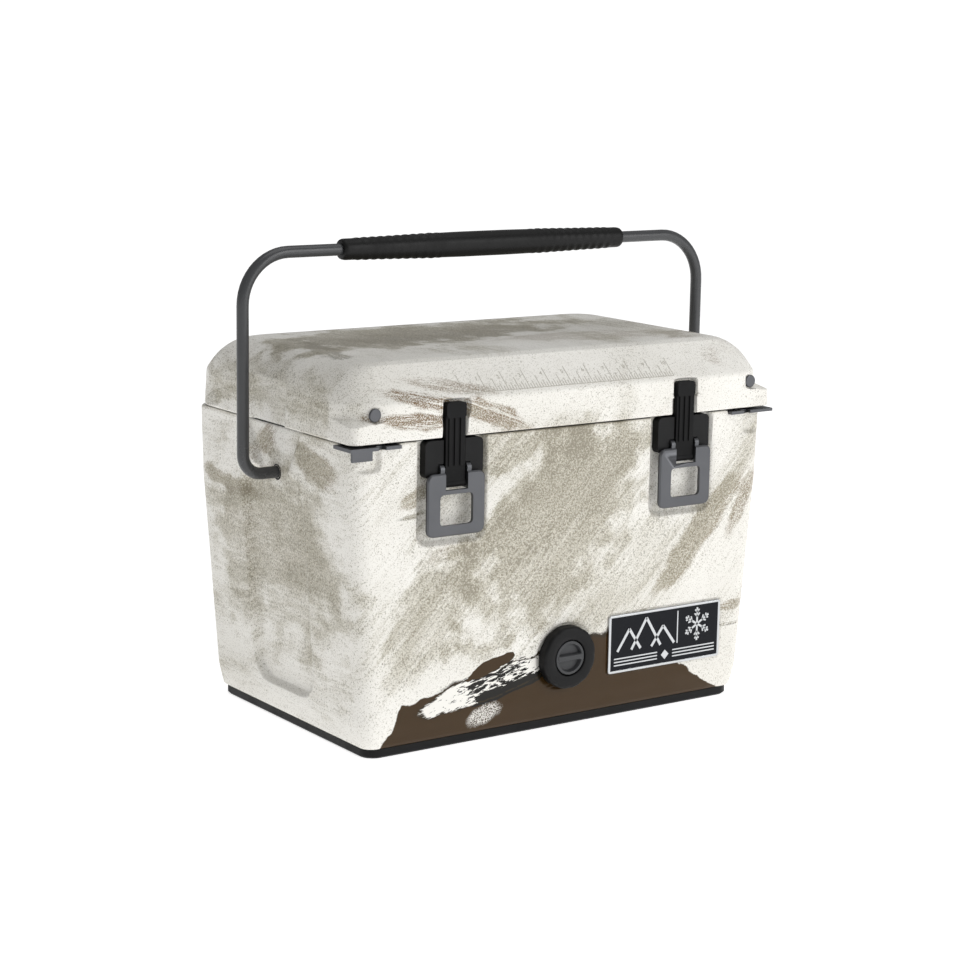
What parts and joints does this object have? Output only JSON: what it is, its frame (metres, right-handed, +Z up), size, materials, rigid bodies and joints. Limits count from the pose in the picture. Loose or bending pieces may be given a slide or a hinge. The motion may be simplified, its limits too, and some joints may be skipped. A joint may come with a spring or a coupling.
{
  "type": "cooler chest",
  "caption": "Hard-sided insulated cooler chest with a hinged lid, twin rubber-strap lever latches, a swinging padded bail handle, tie-down corner plates and a screw-in drain plug.",
  "frame": {"origin": "centre of the footprint of the bounding box, at floor level", "axes": "+X along the chest's length, front face with latches and drain toward -Y, +Z up"},
  "size_m": [0.5734, 0.324, 0.4865],
  "materials": {
    "shell": "speckled off-white",
    "liner": "smooth",
    "foam": "cellular",
    "rubber": "matt",
    "black_plastic": "fine grain",
    "grey_plastic": "fine grain",
    "nameplate": "satin",
    "handle_tube": "satin",
    "fastener": "bright",
    "cast_metal": "bead blasted"
  },
  "bodies": {
    "chest": {"base_screw_1": "fastener", "base_screw_2": "fastener", "base_screw_3": "fastener", "base_screw_4": "fastener", "base_skid": "black_plastic", "body_foam": "foam", "body_liner": "liner", "body_shell": "shell", "drain_flange": "black_plastic", "drain_gasket": "rubber", "drain_nut": "black_plastic", "drain_tube": "grey_plastic", "hinge_leaf_body_left": "cast_metal", "hinge_leaf_body_right": "cast_metal", "hinge_pin_left": "fastener", "hinge_pin_right": "fastener", "hinge_screw_body_left_1": "fastener", "hinge_screw_body_left_2": "fastener", "hinge_screw_body_right_1": "fastener", "hinge_screw_body_right_2": "fastener", "latch_bracket_left": "black_plastic", "latch_bracket_right": "black_plastic", "latch_screw_left_1": "fastener", "latch_screw_left_2": "fastener", "latch_screw_right_1": "fastener", "latch_screw_right_2": "fastener", "nameplate": "nameplate", "pivot_bushing_left": "black_plastic", "pivot_bushing_right": "black_plastic", "tie_down_plate_left": "cast_metal", "tie_down_plate_right": "cast_metal", "tie_down_screw_left_1": "fastener", "tie_down_screw_left_2": "fastener", "tie_down_screw_right_1": "fastener", "tie_down_screw_right_2": "fastener"},
    "lid": {"lid_foam": "foam", "lid_gasket": "rubber", "lid_liner": "liner", "lid_rivet_left": "cast_metal", "lid_rivet_right": "cast_metal", "lid_shell": "shell", "hinge_leaf_lid_left": "cast_metal", "hinge_leaf_lid_right": "cast_metal", "hinge_screw_lid_left_1": "fastener", "hinge_screw_lid_left_2": "fastener", "hinge_screw_lid_right_1": "fastener", "hinge_screw_lid_right_2": "fastener"},
    "handle": {"handle_rod": "handle_tube", "handle_grip": "rubber"},
    "drain_plug": {"drain_plug": "grey_plastic"},
    "lever_left": {"latch_lever_left": "cast_metal", "strap_pin_left": "fastener"},
    "strap_left": {"latch_strap_left": "rubber"},
    "lever_right": {"latch_lever_right": "cast_metal", "strap_pin_right": "fastener"},
    "strap_right": {"latch_strap_right": "rubber"}
  },
  "joints": [
    {"name": "lid_hinge", "type": "hinge", "parent": "chest", "child": "lid", "pos_m": [0, 0.157, 0.308], "axis": [-1, 0, 0], "range_deg": [0, 22]},
    {"name": "handle_swing", "type": "hinge", "parent": "chest", "child": "handle", "pos_m": [0, 0, 0.259], "axis": [1, 0, 0], "range_deg": [-110, 110]},
    {"name": "drain_twist", "type": "hinge", "parent": "chest", "child": "drain_plug", "pos_m": [0, -0.158, 0.074], "axis": [0, -1, 0], "range_deg": [0, 180]},
    {"name": "latch_left", "type": "hinge", "parent": "chest", "child": "lever_left", "pos_m": [-0.14, -0.1555, 0.278], "axis": [-1, 0, 0], "range_deg": [0, 100]},
    {"name": "strap_left", "type": "hinge", "parent": "lever_left", "child": "strap_left", "pos_m": [-0.14, -0.1555, 0.264], "axis": [-1, 0, 0], "range_deg": [-106, 0]},
    {"name": "latch_right", "type": "hinge", "parent": "chest", "child": "lever_right", "pos_m": [0.14, -0.1555, 0.278], "axis": [-1, 0, 0], "range_deg": [0, 100]},
    {"name": "strap_right", "type": "hinge", "parent": "lever_right", "child": "strap_right", "pos_m": [0.14, -0.1555, 0.264], "axis": [-1, 0, 0], "range_deg": [-106, 0]}
  ],
  "couplings": [
    {"joint": "strap_left", "follows": "latch_left", "ratio": -1.05},
    {"joint": "strap_right", "follows": "latch_right", "ratio": -1.05}
  ]
}
